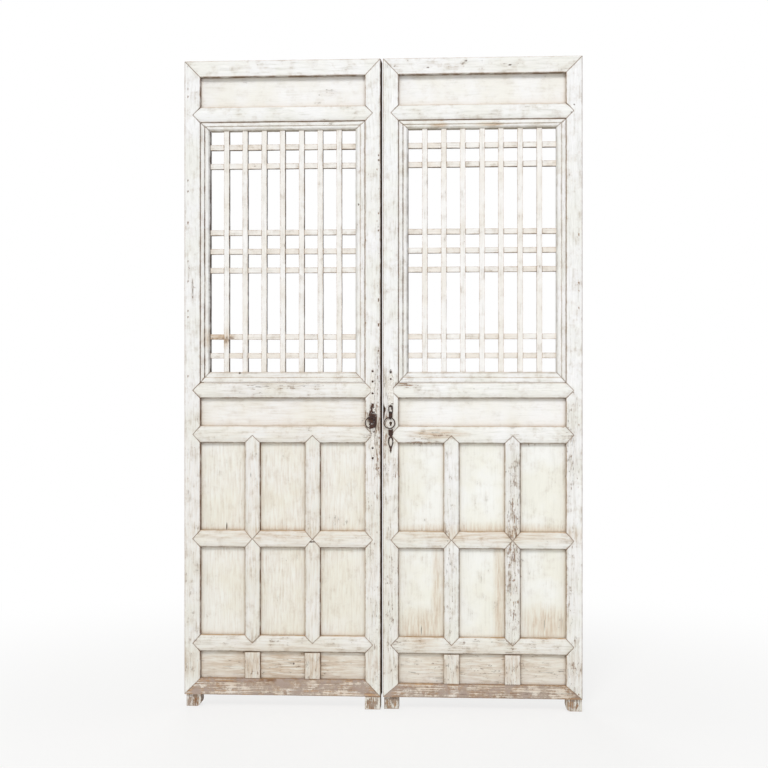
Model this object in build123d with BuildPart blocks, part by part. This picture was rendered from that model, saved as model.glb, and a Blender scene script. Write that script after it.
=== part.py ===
from build123d import *
import math
import os

# A pair of tall wooden leaves, each with a lattice light above and nine panels below.
# The leaves stand upright side by side. Their fronts face -Y, and z = 0 is the underside of the feet.
# The origin is on the floor, midway between the leaves and in the middle of their thickness.
# Inside a leaf, u is the distance from its meeting edge towards its outer edge.

os.makedirs("parts", exist_ok=True)

# Leaf, millimetres
leaf_top = 2084.0
leaf_thick = 60.0
leaf_gap = 8.0
foot_drop = 40.0
outer_stile_w = 52.0
meeting_stile_w = 50.0
meeting_bevel = 2.5  # each meeting edge is planed at a slant, and comes this much nearer at the back
field_w = 143.5  # clear width of one field panel
field_count = 3
muntin_w = 51.0

# Heights of the members and of the panels between them, from the top down
# The lattice light takes what is left of the leaf's height.
top_rail_h = 52.5
frieze_panel_h = 96.0
frieze_rail_h = 50.5
upper_lock_rail_h = 51.0
lock_panel_h = 89.0
lower_lock_rail_h = 55.0
upper_field_h = 281.5
cross_rail_h = 55.5
lower_field_h = 282.5
apron_rail_h = 54.0
apron_rail_rise = 138.5  # underside of the apron rail above the body of the leaf's lower end
bottom_rail_h = {"left": 53.0, "right": 43.0}  # the right one is worn narrower

# Joinery
fit = 0.3  # clearance on each side of a tenon, tongue or mitre
front_layer = 12.0  # depth of the mitred and V-shouldered layer
vee_reach = 24.5
tenon_thick = 14.0
stile_tenon = 34.0
muntin_tenon = 19.0
tongue = 8.0  # how far a panel runs into its grooves
tenon_shoulder = 2.0  # wood between a groove and a mortise
panel_recess = 20.0
panel_thick = 10.0
arris = 2.0  # eased front edges
bead_offset = 9.0
bead_w = 2.4
bead_depth = 1.2
apron_muntin_setback = 3.0

# Feet: inset of the outer edge, and how far the front stands back from the leaf's front
foot_round = 16.0
foot_inset = {
    "left_outer": 5.0,
    "left_meeting": 0.8,
    "right_meeting": 3.5,
    "right_outer": 0.8,
}
foot_setback = {
    "left_outer": 11.0,
    "left_meeting": 0.0,
    "right_meeting": 11.0,
    "right_outer": 11.0,
}
wear_radius = 9.0  # bite worn out of the right leaf's meeting edge
wear_depth = 16.0
wear_rise = 43.0  # above the middle of the ring

# Lattice light
lattice_side_w = 31.0
lattice_head_h = 26.0
lattice_sill_h = 34.0
lattice_setback = 1.5
lattice_depth = 36.0
lattice_band = 0.45  # share of a member's width that its raised outer band takes
lattice_ease = 1.0  # width of the slope from that band to the lower one
lattice_step = 2.5
lattice_bevel = 7.0
lattice_bevel_depth = 5.0
bar_w = 17.0
bar_depth = 20.0
bar_setback = 12.0
bar_groups = (2, 3, 2)  # crossbars in each group, from the sill up
bar_count = sum(bar_groups)
crossbar_setback = 2.5
lap_front = 10.0  # wood left at the front of an upright where a crossbar passes behind it
bar_tenon = 10.0
bar_tenon_thick = 8.0

# Pulls, heights from the middle of the ring
pull_rise = 10.0  # middle of the ring above the lower lock rail
plate_thick = 2.5
nail_head_r = 3.4
nail_head_h = 1.8
nail_taper = 28.0  # slope of the hammered head, degrees
nail_shank_w = 2.4
nail_length = 18.0
nail_spare = 1.0  # depth of a nail's hole past its point
iron_flats = 8  # flats along the wire of rings, eyes and the bail
ring_r = 17.2
ring_wire_r = 1.8
ring_runs = 36  # short straight runs that hammering leaves round the ring
ring_slip = {"left": 19.0, "right": 12.0}  # degrees that the ring has slid round in its eye
eye_r = 5.2
eye_wire_r = 1.5
eye_runs = 16
eye_stand = 0.5  # gap between the eye and the plate behind it
eye_clear = 0.7  # play between the ring and the bottom of its eye
shank_w = 4.0
shank_length = 30.0
keyhole_r = 4.5
keyhole_slot_w = 5.0
keyhole_slot_h = 9.0
keyhole_depth = 22.0
rose_r = 15.5
bail_w = 15.0
bail_h = 27.0
bail_wire_r = 1.5
bail_height = 44.0
bail_runs = 8  # in each rounded end
loop_w = 14.0
loop_h = 15.0
loop_corner = 2.0
loop_bar = 3.2
loop_thick = 3.5
loop_height = -29.0
cut_past = 1.0  # how far a cutting shape runs past the face it opens

# Plate outlines from the top tip down, as pairs of height and half width
left_plate_outline = [
    (174, 0.8), (166, 4.0), (150, 5.5), (133, 8.5), (116, 8.0), (109, 5.5), (95, 7.6),
    (70, 6.8), (59, 4.0), (44, 9.5), (20, 14.0), (0, 13.2), (-22, 8.0), (-32, 5.4),
    (-58, 6.6), (-66, 5.6), (-80, 9.6), (-96, 5.2), (-106, 3.6), (-118, 0.8),
]
right_plate_outline = [
    (172, 0.8), (166, 3.2), (154, 4.4), (144, 8.4), (60, 8.4), (52, 6.0), (24, 6.0),
    (-17, 4.5), (-21, 7.4), (-37, 7.4), (-42, 3.2), (-50, 8.6), (-64, 8.6), (-82, 3.2), (-96, 0.8),
]
left_nail_heights = [166, 133, 95, -80, -112]
right_nail_heights = [164, 141, -88]
lens_top = -47.0
lens_bottom = -74.0
lens_w = 9.4

# Heights and widths worked out from those sizes
front = -leaf_thick / 2
back = leaf_thick / 2
panel_front = front + panel_recess
panel_back = panel_front + panel_thick
sides = {"left": -1, "right": 1}

stack = {}
apron_top = foot_drop + apron_rail_rise
level = apron_top
for member, height in (
    ("apron_rail", apron_rail_h),
    ("lower_panels", lower_field_h),
    ("cross_rails", cross_rail_h),
    ("upper_panels", upper_field_h),
    ("lower_lock_rail", lower_lock_rail_h),
    ("lock_panel", lock_panel_h),
    ("upper_lock_rail", upper_lock_rail_h),
):
    stack[member] = (level, level + height)
    level += height
light_bottom = level
level = leaf_top
for member, height in (
    ("top_rail", top_rail_h),
    ("frieze_panel", frieze_panel_h),
    ("frieze_rail", frieze_rail_h),
):
    stack[member] = (level - height, level)
    level -= height
stack["lattice"] = (light_bottom, level)
pull_height = stack["lower_lock_rail"][1] + pull_rise

inner_u = meeting_stile_w
outer_u = inner_u + field_count * field_w + (field_count - 1) * muntin_w
leaf_w = outer_u + outer_stile_w
fields = [(inner_u + n * (field_w + muntin_w), inner_u + n * (field_w + muntin_w) + field_w)
          for n in range(field_count)]
muntins = {"inner": (fields[0][1], fields[1][0]), "outer": (fields[1][1], fields[2][0])}


def levels_of(side_name):
    """Bottom and top of every member and panel of one leaf."""
    bottom_top = foot_drop + bottom_rail_h[side_name]
    levels = dict(stack)
    levels["apron_panel"] = (bottom_top, apron_top)
    levels["bottom_rail"] = (foot_drop, bottom_top)
    return levels


def at(side, u):
    """The x of a place u from the meeting edge."""
    return side * (leaf_gap / 2 + u)


def block(side, us, ys, zs, mode=Mode.ADD):
    """A square-edged block between two places in u, y and z."""
    x0, x1 = at(side, us[0]), at(side, us[1])
    with Locations(((x0 + x1) / 2, (ys[0] + ys[1]) / 2, (zs[0] + zs[1]) / 2)):
        Box(abs(x1 - x0), abs(ys[1] - ys[0]), abs(zs[1] - zs[0]), mode=mode)


def front_plane(y):
    """A plane that faces the viewer, with its own x and y along the row's X and Z."""
    return Plane(origin=(0, y, 0), x_dir=(1, 0, 0), z_dir=(0, -1, 0))


def slab(side, outline, y0, y1, grow=0.0, mode=Mode.ADD):
    """A flat piece of the given outline in u and z, between two depths."""
    with BuildSketch(front_plane(y0)) as face:
        with BuildLine():
            Polyline([(at(side, u), z) for u, z in outline], close=True)
        make_face()
        if grow:
            offset(amount=grow, kind=Kind.INTERSECTION)
    extrude(face.sketch, amount=y0 - y1, mode=mode)


def vee(edge, way, zs):
    """The point of a V-shouldered rail that enters a stile at edge."""
    low, high = zs
    return [(edge, low), (edge + way * vee_reach, (low + high) / 2), (edge, high)]


def upright_vee(us, edge, way):
    """The point of a V-shouldered muntin that enters a rail at edge."""
    return [(us[0], edge), ((us[0] + us[1]) / 2, edge + way * vee_reach), (us[1], edge)]


def mitre(edge, outer, zs, corner):
    """The mitred end of a top or bottom rail: corner is the height of its outer corner."""
    low, high = zs
    foot_z = low if corner == high else high
    return [(edge, foot_z), (outer, corner), (edge, corner)]


def tenon_zs(zs, play=0.0):
    """Height span of a rail's tenon."""
    inset = tongue + fit + tenon_shoulder - play
    return (zs[0] + inset, zs[1] - inset)


def tenon_ys(play=0.0):
    return (-tenon_thick / 2 - play, tenon_thick / 2 + play)


def groove(side, us, zs, grown_u, grown_z):
    """A panel groove, run past the panel's edge in u or in z."""
    deep = tongue + fit
    block(
        side,
        (us[0] - deep * grown_u, us[1] + deep * grown_u),
        (panel_front - fit, panel_back + fit),
        (zs[0] - deep * grown_z, zs[1] + deep * grown_z),
        Mode.SUBTRACT,
    )


def save(piece, name):
    piece.part.label = name
    export_step(piece.part, f"parts/{name}.step")


def make_stile(side_name, place):
    """A stile with its foot, mitres, V notches, mortises, grooves and bead."""
    side = sides[side_name]
    levels = levels_of(side_name)
    edge, outer = (inner_u, 0.0) if place == "meeting" else (outer_u, leaf_w)
    outer_back = -meeting_bevel if place == "meeting" else leaf_w
    way = 1 if outer > edge else -1
    foot = f"{side_name}_{place}"

    with BuildPart() as stile:
        with BuildSketch(Plane.XY.offset(foot_drop)) as section:
            with BuildLine():
                Polyline(
                    (at(side, edge), front), (at(side, outer), front),
                    (at(side, outer_back), back), (at(side, edge), back), close=True,
                )
            make_face()
            chamfer(section.vertices().group_by(Axis.Y)[0], length=arris)
            bead_u = outer - way * bead_offset
            bead_low, bead_high = at(side, bead_u - bead_w / 2), at(side, bead_u + bead_w / 2)
            with BuildLine():
                Polyline(
                    (bead_low, front - cut_past), (bead_low, front), (at(side, bead_u), front + bead_depth),
                    (bead_high, front), (bead_high, front - cut_past), close=True,
                )
            make_face(mode=Mode.SUBTRACT)
        extrude(amount=leaf_top - foot_drop)

        # Foot: the back layer of the stile runs on below the bottom rail
        foot_outer = outer - way * foot_inset[foot]
        with BuildSketch(front_plane(front + foot_setback[foot])) as foot_face:
            with BuildLine():
                Polyline(
                    (at(side, edge), 0), (at(side, foot_outer), 0),
                    (at(side, foot_outer), foot_drop), (at(side, edge), foot_drop), close=True,
                )
            make_face()
            if place == "outer":
                low = foot_face.vertices().group_by(Axis.Y)[0]
                fillet(low.sort_by(Axis.X)[-1 if side < 0 else 0], radius=foot_round)
        extrude(amount=foot_setback[foot] - leaf_thick)

        # Front layer: mitres at top and bottom, V notches between them
        for rail, corner in (("top_rail", leaf_top), ("bottom_rail", foot_drop)):
            slab(side, mitre(edge, outer, levels[rail], corner), front, front + front_layer + fit,
                 grow=fit, mode=Mode.SUBTRACT)
        side_rails = ["frieze_rail", "upper_lock_rail", "lower_lock_rail", "cross_rails", "apron_rail"]
        for rail in side_rails:
            slab(side, vee(edge, way, levels[rail]), front, front + front_layer + fit,
                 grow=fit, mode=Mode.SUBTRACT)

        # Mortises and panel grooves
        for rail in side_rails + ["top_rail", "bottom_rail"]:
            deep = edge + way * (stile_tenon + fit)
            block(side, (edge, deep), tenon_ys(fit), tenon_zs(levels[rail], fit), Mode.SUBTRACT)
        for panel in ("frieze_panel", "lock_panel", "upper_panels", "lower_panels", "apron_panel"):
            groove(side, (edge, edge), levels[panel], 1, 1)

        # Fixings of the pull go into the meeting stile
        if place == "meeting":
            pull_holes(side_name)
            if side_name == "right":
                with Locations(Plane(origin=(at(side, 0), front, pull_height + wear_rise), z_dir=(0, 1, 0))):
                    Cylinder(wear_radius, 2 * wear_depth, mode=Mode.SUBTRACT)
    save(stile, f"{side_name}_{place}_stile")


def rail_body(side, us, zs, top_panel=None, low_panel=None):
    """The straight length of a rail between its shoulders, with rounded front arrises and grooves."""
    x0, x1 = sorted((at(side, us[0]), at(side, us[1])))
    with BuildSketch(Plane(origin=(x0, 0, 0), x_dir=(0, 1, 0), z_dir=(1, 0, 0))) as section:
        with BuildLine():
            Polyline((front, zs[0]), (back, zs[0]), (back, zs[1]), (front, zs[1]), close=True)
        make_face()
        chamfer(section.vertices().group_by(Axis.Y)[0], length=arris)
    extrude(section.sketch, amount=x1 - x0)
    if low_panel:
        groove(side, us, (zs[0], zs[0]), 1, 1)
    if top_panel:
        groove(side, us, (zs[1], zs[1]), 1, 1)


def muntin_sockets(side, edge, way):
    """V notch and mortise for each muntin in the edge of a rail."""
    for us in muntins.values():
        slab(side, upright_vee(us, edge, way), front, front + front_layer + fit,
             grow=fit, mode=Mode.SUBTRACT)
        block(side, tenon_zs(us, fit), tenon_ys(fit), (edge, edge + way * (stile_tenon + fit)),
              Mode.SUBTRACT)


def make_rail(side_name, name, above, below):
    """A rail that runs from stile to stile."""
    side = sides[side_name]
    zs = levels_of(side_name)[name]
    with BuildPart() as rail:
        rail_body(side, (inner_u, outer_u), zs, above, below)
        for edge, outer, way in ((inner_u, 0.0, -1), (outer_u, leaf_w, 1)):
            if name == "top_rail":
                end = mitre(edge, outer, zs, leaf_top)
            elif name == "bottom_rail":
                end = mitre(edge, outer, zs, foot_drop)
            else:
                end = vee(edge, way, zs)
            slab(side, end, front, front + front_layer)
            block(side, (edge, edge + way * stile_tenon), tenon_ys(), tenon_zs(zs))
        if name == "lower_lock_rail":
            muntin_sockets(side, zs[0], 1)
        if name == "apron_rail":
            muntin_sockets(side, zs[1], -1)
    save(rail, f"{side_name}_{name}")


def make_cross_rails(side_name):
    """The three short rails between the upper and the lower field panels."""
    side = sides[side_name]
    zs = levels_of(side_name)["cross_rails"]
    with BuildPart() as rails:
        for us in fields:
            rail_body(side, us, zs, True, True)
            for edge, way in ((us[0], -1), (us[1], 1)):
                slab(side, vee(edge, way, zs), front, front + front_layer)
                in_stile = edge in (inner_u, outer_u)
                reach = stile_tenon if in_stile else muntin_tenon
                block(side, (edge, edge + way * reach), tenon_ys(), tenon_zs(zs))
    save(rails, f"{side_name}_cross_rails")


def make_muntin(side_name, place):
    """An upright between field panels, V-shouldered into the rails above and below."""
    side = sides[side_name]
    levels = levels_of(side_name)
    us = muntins[place]
    zs = (levels["apron_rail"][1], levels["lower_lock_rail"][0])
    with BuildPart() as muntin:
        with BuildSketch(Plane.XY.offset(zs[0])) as section:
            with BuildLine():
                Polyline(
                    (at(side, us[0]), front), (at(side, us[1]), front),
                    (at(side, us[1]), back), (at(side, us[0]), back), close=True,
                )
            make_face()
            chamfer(section.vertices().group_by(Axis.Y)[0], length=arris)
        extrude(amount=zs[1] - zs[0])
        for edge, way in ((zs[0], -1), (zs[1], 1)):
            slab(side, upright_vee(us, edge, way), front, front + front_layer)
            block(side, tenon_zs(us), tenon_ys(), (edge, edge + way * stile_tenon))
        for edge, way in ((us[0], 1), (us[1], -1)):
            slab(side, vee(edge, way, levels["cross_rails"]), front, front + front_layer + fit,
                 grow=fit, mode=Mode.SUBTRACT)
            block(side, (edge, edge + way * (muntin_tenon + fit)), tenon_ys(fit),
                  tenon_zs(levels["cross_rails"], fit), Mode.SUBTRACT)
            for panels in ("upper_panels", "lower_panels"):
                groove(side, (edge, edge), levels[panels], 1, 1)
    save(muntin, f"{side_name}_{place}_muntin")


def make_apron_muntins(side_name):
    """Two short flat pieces planted on the apron panel, butted between its rails."""
    side = sides[side_name]
    low, high = levels_of(side_name)["apron_panel"]
    with BuildPart() as planted:
        for us in muntins.values():
            block(side, us, (front + apron_muntin_setback, panel_front), (low + fit, high - fit))
        chamfer(planted.edges().filter_by(Axis.Z).group_by(Axis.Y)[0], length=arris)
    save(planted, f"{side_name}_apron_muntins")


def make_panels(side_name, name, spans):
    """Flat boards that stand in grooves on all four sides."""
    side = sides[side_name]
    zs = levels_of(side_name)[name]
    with BuildPart() as panels:
        for us in spans:
            block(side, (us[0] - tongue, us[1] + tongue), (panel_front, panel_back),
                  (zs[0] - tongue, zs[1] + tongue))
    save(panels, f"{side_name}_{name}")


def light_sizes(side_name):
    """Outer and sight edges of the lattice sub-frame, and the middles of its bars."""
    low, high = levels_of(side_name)["lattice"]
    outer_us = (inner_u + fit, outer_u - fit)
    outer_zs = (low + fit, high - fit)
    sight_us = (inner_u + lattice_side_w, outer_u - lattice_side_w)
    sight_zs = (low + lattice_sill_h, high - lattice_head_h)
    cell = (sight_us[1] - sight_us[0] - bar_count * bar_w) / (bar_count + 1)
    uprights = [sight_us[0] + cell + bar_w / 2 + n * (cell + bar_w) for n in range(bar_count)]

    # Crossbars stand a cell apart in their groups, and the long cells take the rest of the height
    long_count = len(bar_groups) - 1
    cell_count = bar_count + 1 - long_count
    long_cell = (sight_zs[1] - sight_zs[0] - cell_count * cell - bar_count * bar_w) / long_count
    crossbars = []
    z = sight_zs[0] + cell + bar_w / 2
    for group in bar_groups:
        for n in range(group):
            crossbars.append(z)
            z += cell + bar_w
        z += long_cell - cell
    return outer_us, outer_zs, sight_us, sight_zs, uprights, crossbars


def moulding(width):
    """Section of a sub-frame member as pairs of distance from its outer edge and y."""
    face = front + lattice_setback
    lower_face = face + lattice_step
    band = lattice_band * width
    return [
        (0, face), (band, face), (band + lattice_ease, lower_face),
        (width - lattice_bevel, lower_face), (width, lower_face + lattice_bevel_depth),
        (width, face + lattice_depth), (0, face + lattice_depth),
    ]


def bar_sockets(side, horizontal, edge, way, middles):
    """Pockets for the ends of the bars in the sight edge of a sub-frame member."""
    y_middle = front + bar_setback + bar_depth / 2
    ys = (y_middle - bar_tenon_thick / 2 - fit, y_middle + bar_tenon_thick / 2 + fit)
    for middle in middles:
        across = (middle - bar_w / 2 - fit, middle + bar_w / 2 + fit)
        along = (edge, edge + way * (bar_tenon + fit))
        if horizontal:
            block(side, across, ys, along, Mode.SUBTRACT)
        else:
            block(side, along, ys, across, Mode.SUBTRACT)


def make_light_frame(side_name):
    """The mitred, moulded frame that holds the lattice, as four pieces."""
    side = sides[side_name]
    outer_us, outer_zs, sight_us, sight_zs, uprights, crossbars = light_sizes(side_name)
    depth = (front, front + lattice_setback + lattice_depth + cut_past)

    # Mitre outline, edge and section of each of the four members
    for place, n in (("inner_stile", 0), ("outer_stile", 1)):
        width = abs(sight_us[n] - outer_us[n])
        way = 1 if n == 0 else -1
        with BuildPart() as member:
            with BuildSketch(Plane.XY.offset(outer_zs[0])):
                with BuildLine():
                    Polyline([(at(side, outer_us[n] + way * s), y) for s, y in moulding(width)],
                             close=True)
                make_face()
            extrude(amount=outer_zs[1] - outer_zs[0])
            slab(side, [(outer_us[n], outer_zs[0]), (sight_us[n], sight_zs[0]),
                        (sight_us[n], sight_zs[1]), (outer_us[n], outer_zs[1])],
                 depth[0], depth[1], grow=-fit / 2, mode=Mode.INTERSECT)
            bar_sockets(side, False, sight_us[n], -way, crossbars)
        save(member, f"{side_name}_lattice_{place}")

    for place, n in (("sill", 0), ("head", 1)):
        width = abs(sight_zs[n] - outer_zs[n])
        way = 1 if n == 0 else -1
        x0, x1 = sorted((at(side, outer_us[0]), at(side, outer_us[1])))
        with BuildPart() as member:
            with BuildSketch(Plane(origin=(x0, 0, 0), x_dir=(0, 1, 0), z_dir=(1, 0, 0))):
                with BuildLine():
                    Polyline([(y, outer_zs[n] + way * s) for s, y in moulding(width)], close=True)
                make_face()
            extrude(amount=x1 - x0)
            slab(side, [(outer_us[0], outer_zs[n]), (sight_us[0], sight_zs[n]),
                        (sight_us[1], sight_zs[n]), (outer_us[1], outer_zs[n])],
                 depth[0], depth[1], grow=-fit / 2, mode=Mode.INTERSECT)
            bar_sockets(side, True, sight_zs[n], -way, uprights)
        save(member, f"{side_name}_lattice_{place}")


def make_bars(side_name):
    """Uprights that run through in front, and crossbars lapped into their backs."""
    side = sides[side_name]
    outer_us, outer_zs, sight_us, sight_zs, uprights, crossbars = light_sizes(side_name)
    bar_front = front + bar_setback
    bar_back = bar_front + bar_depth
    lap = bar_front + lap_front
    middle = (bar_front + bar_back) / 2
    tenon_y = (middle - bar_tenon_thick / 2, middle + bar_tenon_thick / 2)

    with BuildPart() as standing:
        for u in uprights:
            us = (u - bar_w / 2, u + bar_w / 2)
            block(side, us, (bar_front, bar_back), (sight_zs[0] + fit, sight_zs[1] - fit))
            block(side, us, tenon_y, (sight_zs[0] - bar_tenon, sight_zs[1] + bar_tenon))
        for z in crossbars:
            block(side, (sight_us[0], sight_us[1]), (lap, bar_back + cut_past),
                  (z - bar_w / 2 - fit, z + bar_w / 2 + fit), Mode.SUBTRACT)
    save(standing, f"{side_name}_lattice_uprights")

    with BuildPart() as lying:
        for z in crossbars:
            zs = (z - bar_w / 2, z + bar_w / 2)
            block(side, (sight_us[0] + fit, sight_us[1] - fit),
                  (bar_front + crossbar_setback, bar_back), zs)
            block(side, (sight_us[0] - bar_tenon, sight_us[1] + bar_tenon), tenon_y, zs)
        for u in uprights:
            block(side, (u - bar_w / 2 - fit, u + bar_w / 2 + fit), (bar_front, lap + fit),
                  (sight_zs[0], sight_zs[1]), Mode.SUBTRACT)
    save(lying, f"{side_name}_lattice_crossbars")


def pull_x(side_name):
    return at(sides[side_name], meeting_stile_w / 2)


def ring_centre(side_name):
    """Middle of the ring as it hangs, slid round in its eye."""
    slip = math.radians(ring_slip[side_name])
    return pull_x(side_name) - ring_r * math.sin(slip), pull_height + ring_r * (1 - math.cos(slip))


def eye_middle():
    """The y and z of the middle of the eye, which is the same on both leaves."""
    y = front - plate_thick - eye_stand - eye_wire_r - eye_r
    ring_top = pull_height + ring_r
    return y, ring_top + eye_r - eye_wire_r - ring_wire_r - eye_clear


def nail_heights(side_name):
    return left_nail_heights if side_name == "left" else right_nail_heights


def shank(x, y0, y1, z, width, mode=Mode.ADD):
    """A square bar along Y between two depths."""
    with Locations((x, (y0 + y1) / 2, z)):
        Box(width, abs(y1 - y0), width, mode=mode)


def keyhole(x, z, y0, y1):
    """A round hole with a slot below it, cut between two depths."""
    with Locations(Plane(origin=(x, (y0 + y1) / 2, z), z_dir=(0, 1, 0))):
        Cylinder(keyhole_r, abs(y1 - y0), mode=Mode.SUBTRACT)
    with Locations((x, (y0 + y1) / 2, z - keyhole_slot_h / 2)):
        Box(keyhole_slot_w, abs(y1 - y0), keyhole_slot_h, mode=Mode.SUBTRACT)


def forged_wire(plane, corners, wire_r):
    """Wire with flats along a closed path of straight runs that starts in the middle of one."""
    with BuildLine(plane) as path:
        Polyline(corners, close=True)
    start, end = [plane.from_local_coords(Vector(*corner)) for corner in corners[:2]]
    with BuildSketch(Plane(origin=start, x_dir=plane.z_dir, z_dir=end - start)) as section:
        RegularPolygon(wire_r, iron_flats, rotation=180 / iron_flats)
    sweep(section.sketch, path=path.line, transition=Transition.RIGHT)


def forged_ring(plane, radius, runs, wire_r):
    """A ring of wire, hammered round in straight runs whose middles lie at the radius."""
    half_turn = math.pi / runs
    corner_r = radius / math.cos(half_turn)
    turns = [half_turn * (2 * n + 1) for n in range(runs)]
    corners = [(corner_r * math.cos(turn), corner_r * math.sin(turn)) for turn in turns]
    forged_wire(plane, [(radius, 0)] + corners, wire_r)


def pull_holes(side_name):
    """Holes in the meeting stile for the nails, the shank of the eye and the key."""
    x = pull_x(side_name)
    for height in nail_heights(side_name):
        shank(x, front - cut_past, front + nail_length + nail_spare, pull_height + height,
              nail_shank_w + 2 * fit, Mode.SUBTRACT)
    shank(x, front - cut_past, front + shank_length + fit, eye_middle()[1], shank_w + 2 * fit,
          Mode.SUBTRACT)
    if side_name == "right":
        keyhole(x, pull_height, front - cut_past, front + keyhole_depth)


def make_pull(side_name):
    """Back plate, nails, eye and ring of one leaf's pull."""
    x = pull_x(side_name)
    plate_front = front - plate_thick
    outline = left_plate_outline if side_name == "left" else right_plate_outline
    eye_y, eye_z = eye_middle()

    with BuildPart() as plate:
        with BuildSketch(front_plane(front)) as face:
            with BuildLine():
                half = [(x + w, pull_height + h) for h, w in outline]
                other = [(x - w, pull_height + h) for h, w in reversed(outline)]
                Polyline(half + other, close=True)
            make_face()
            if side_name == "right":
                with Locations((x, pull_height)):
                    Circle(rose_r)
                with Locations((x, pull_height + (lens_top + lens_bottom) / 2)):
                    Ellipse(lens_w / 2, (lens_top - lens_bottom) / 2, mode=Mode.SUBTRACT)
        extrude(amount=plate_thick)
        for height in nail_heights(side_name):
            shank(x, front + cut_past, plate_front - cut_past, pull_height + height,
                  nail_shank_w + 2 * fit, Mode.SUBTRACT)
        shank(x, front + cut_past, plate_front - cut_past, eye_z, shank_w + 2 * fit, Mode.SUBTRACT)
        if side_name == "right":
            keyhole(x, pull_height, front + cut_past, plate_front - cut_past)
    save(plate, f"{side_name}_pull_plate")

    with BuildPart() as nails:
        with BuildSketch(front_plane(plate_front)):
            with Locations([(x, pull_height + height) for height in nail_heights(side_name)]):
                RegularPolygon(nail_head_r, iron_flats)
        extrude(amount=nail_head_h, taper=nail_taper)
        for height in nail_heights(side_name):
            shank(x, front + nail_length, plate_front, pull_height + height, nail_shank_w)
    save(nails, f"{side_name}_pull_nails")

    with BuildPart() as eye:
        sideways = Plane(origin=(x, eye_y, eye_z), x_dir=(0, 1, 0), z_dir=(1, 0, 0))
        forged_ring(sideways, eye_r, eye_runs, eye_wire_r)
        shank(x, eye_y + eye_r, front + shank_length, eye_z, shank_w)
    save(eye, f"{side_name}_pull_eye")

    ring_x, ring_z = ring_centre(side_name)
    with BuildPart() as ring:
        facing = Plane(origin=(ring_x, eye_y, ring_z), x_dir=(1, 0, 0), z_dir=(0, -1, 0))
        forged_ring(facing, ring_r, ring_runs, ring_wire_r)
    save(ring, f"{side_name}_pull_ring")


def make_right_fittings():
    """The bail above the right ring and the square loop below it."""
    x = pull_x("right")
    plate_front = front - plate_thick
    straight = (bail_h - bail_w) / 2
    half = bail_w / 2 - bail_wire_r
    corners = [(half, 0)]
    for way, start in ((1, 0.0), (-1, math.pi)):
        for n in range(bail_runs + 1):
            turn = start + math.pi * n / bail_runs
            corners.append((half * math.cos(turn), way * straight + half * math.sin(turn)))
    with BuildPart() as bail:
        plane = Plane(origin=(x, plate_front - bail_wire_r, pull_height + bail_height),
                      x_dir=(1, 0, 0), z_dir=(0, -1, 0))
        forged_wire(plane, corners, bail_wire_r)
    save(bail, "right_pull_bail")

    with BuildPart() as loop:
        with BuildSketch(front_plane(plate_front)):
            with Locations((x, pull_height + loop_height)):
                RectangleRounded(loop_w, loop_h, loop_corner)
                Rectangle(loop_w - 2 * loop_bar, loop_h - 2 * loop_bar, mode=Mode.SUBTRACT)
        extrude(amount=loop_thick)
    save(loop, "right_pull_loop")


for side_name in sides:
    for place in ("meeting", "outer"):
        make_stile(side_name, place)
    make_rail(side_name, "top_rail", False, True)
    make_rail(side_name, "frieze_rail", True, False)
    make_rail(side_name, "upper_lock_rail", False, True)
    make_rail(side_name, "lower_lock_rail", True, True)
    make_rail(side_name, "apron_rail", True, True)
    make_rail(side_name, "bottom_rail", True, False)
    make_cross_rails(side_name)
    for place in muntins:
        make_muntin(side_name, place)
    make_apron_muntins(side_name)
    whole_width = [(inner_u, outer_u)]
    for name in ("frieze_panel", "lock_panel", "apron_panel"):
        make_panels(side_name, name, whole_width)
    for name in ("upper_panels", "lower_panels"):
        make_panels(side_name, name, fields)
    make_light_frame(side_name)
    make_bars(side_name)
    make_pull(side_name)
make_right_fittings()
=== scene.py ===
# %% [markdown]
# # A pair of lattice and panel door leaves
#
# Two tall softwood leaves stand side by side, painted white long ago and worn ever since.
# The joinery comes packed, at its real size. This lesson gives each member its worn surface,
# its grain and its paint, and forges the ironwork. Everything is in metres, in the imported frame:
# +Z is up, the fronts face -Y, and z = 0 is the floor under the feet.

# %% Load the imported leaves
import math

import bmesh
import bpy
import numpy as np
from mathutils import Matrix, Vector, noise


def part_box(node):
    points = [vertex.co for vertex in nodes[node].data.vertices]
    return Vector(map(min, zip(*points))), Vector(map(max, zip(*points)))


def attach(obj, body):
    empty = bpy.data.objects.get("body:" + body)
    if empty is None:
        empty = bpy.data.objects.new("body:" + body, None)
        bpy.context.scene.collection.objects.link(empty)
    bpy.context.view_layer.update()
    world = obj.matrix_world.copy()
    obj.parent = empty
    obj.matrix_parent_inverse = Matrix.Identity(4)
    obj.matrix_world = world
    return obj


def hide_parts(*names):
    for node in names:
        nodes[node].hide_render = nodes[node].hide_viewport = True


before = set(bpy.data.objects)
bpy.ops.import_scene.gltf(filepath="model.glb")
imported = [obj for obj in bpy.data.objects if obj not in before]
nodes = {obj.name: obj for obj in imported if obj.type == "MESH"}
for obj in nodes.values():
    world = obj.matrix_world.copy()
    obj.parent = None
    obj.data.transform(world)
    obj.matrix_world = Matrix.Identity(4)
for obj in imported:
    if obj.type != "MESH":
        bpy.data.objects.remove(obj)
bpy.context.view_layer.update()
MM = 0.001
UP = Vector((0, 0, 1))
RIGHT = Vector((1, 0, 0))
BACKWARDS = Vector((0, 1, 0))

# %% [markdown]
# ## Helpers
#
# Objects, meshes and trees of nodes are made in the same way all through the lesson, so the
# few lines for each are written once. Colours are given as they would be picked on a screen.

# %% Helpers
def linear(colour):
    """An sRGB hex colour as the linear red, green, blue and alpha that a shader takes."""
    channels = [int(colour[n:n + 2], 16) / 255 for n in (1, 3, 5)]
    return tuple(c / 12.92 if c <= 0.04045 else ((c + 0.055) / 1.055) ** 2.4 for c in channels) + (1.0,)


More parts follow.
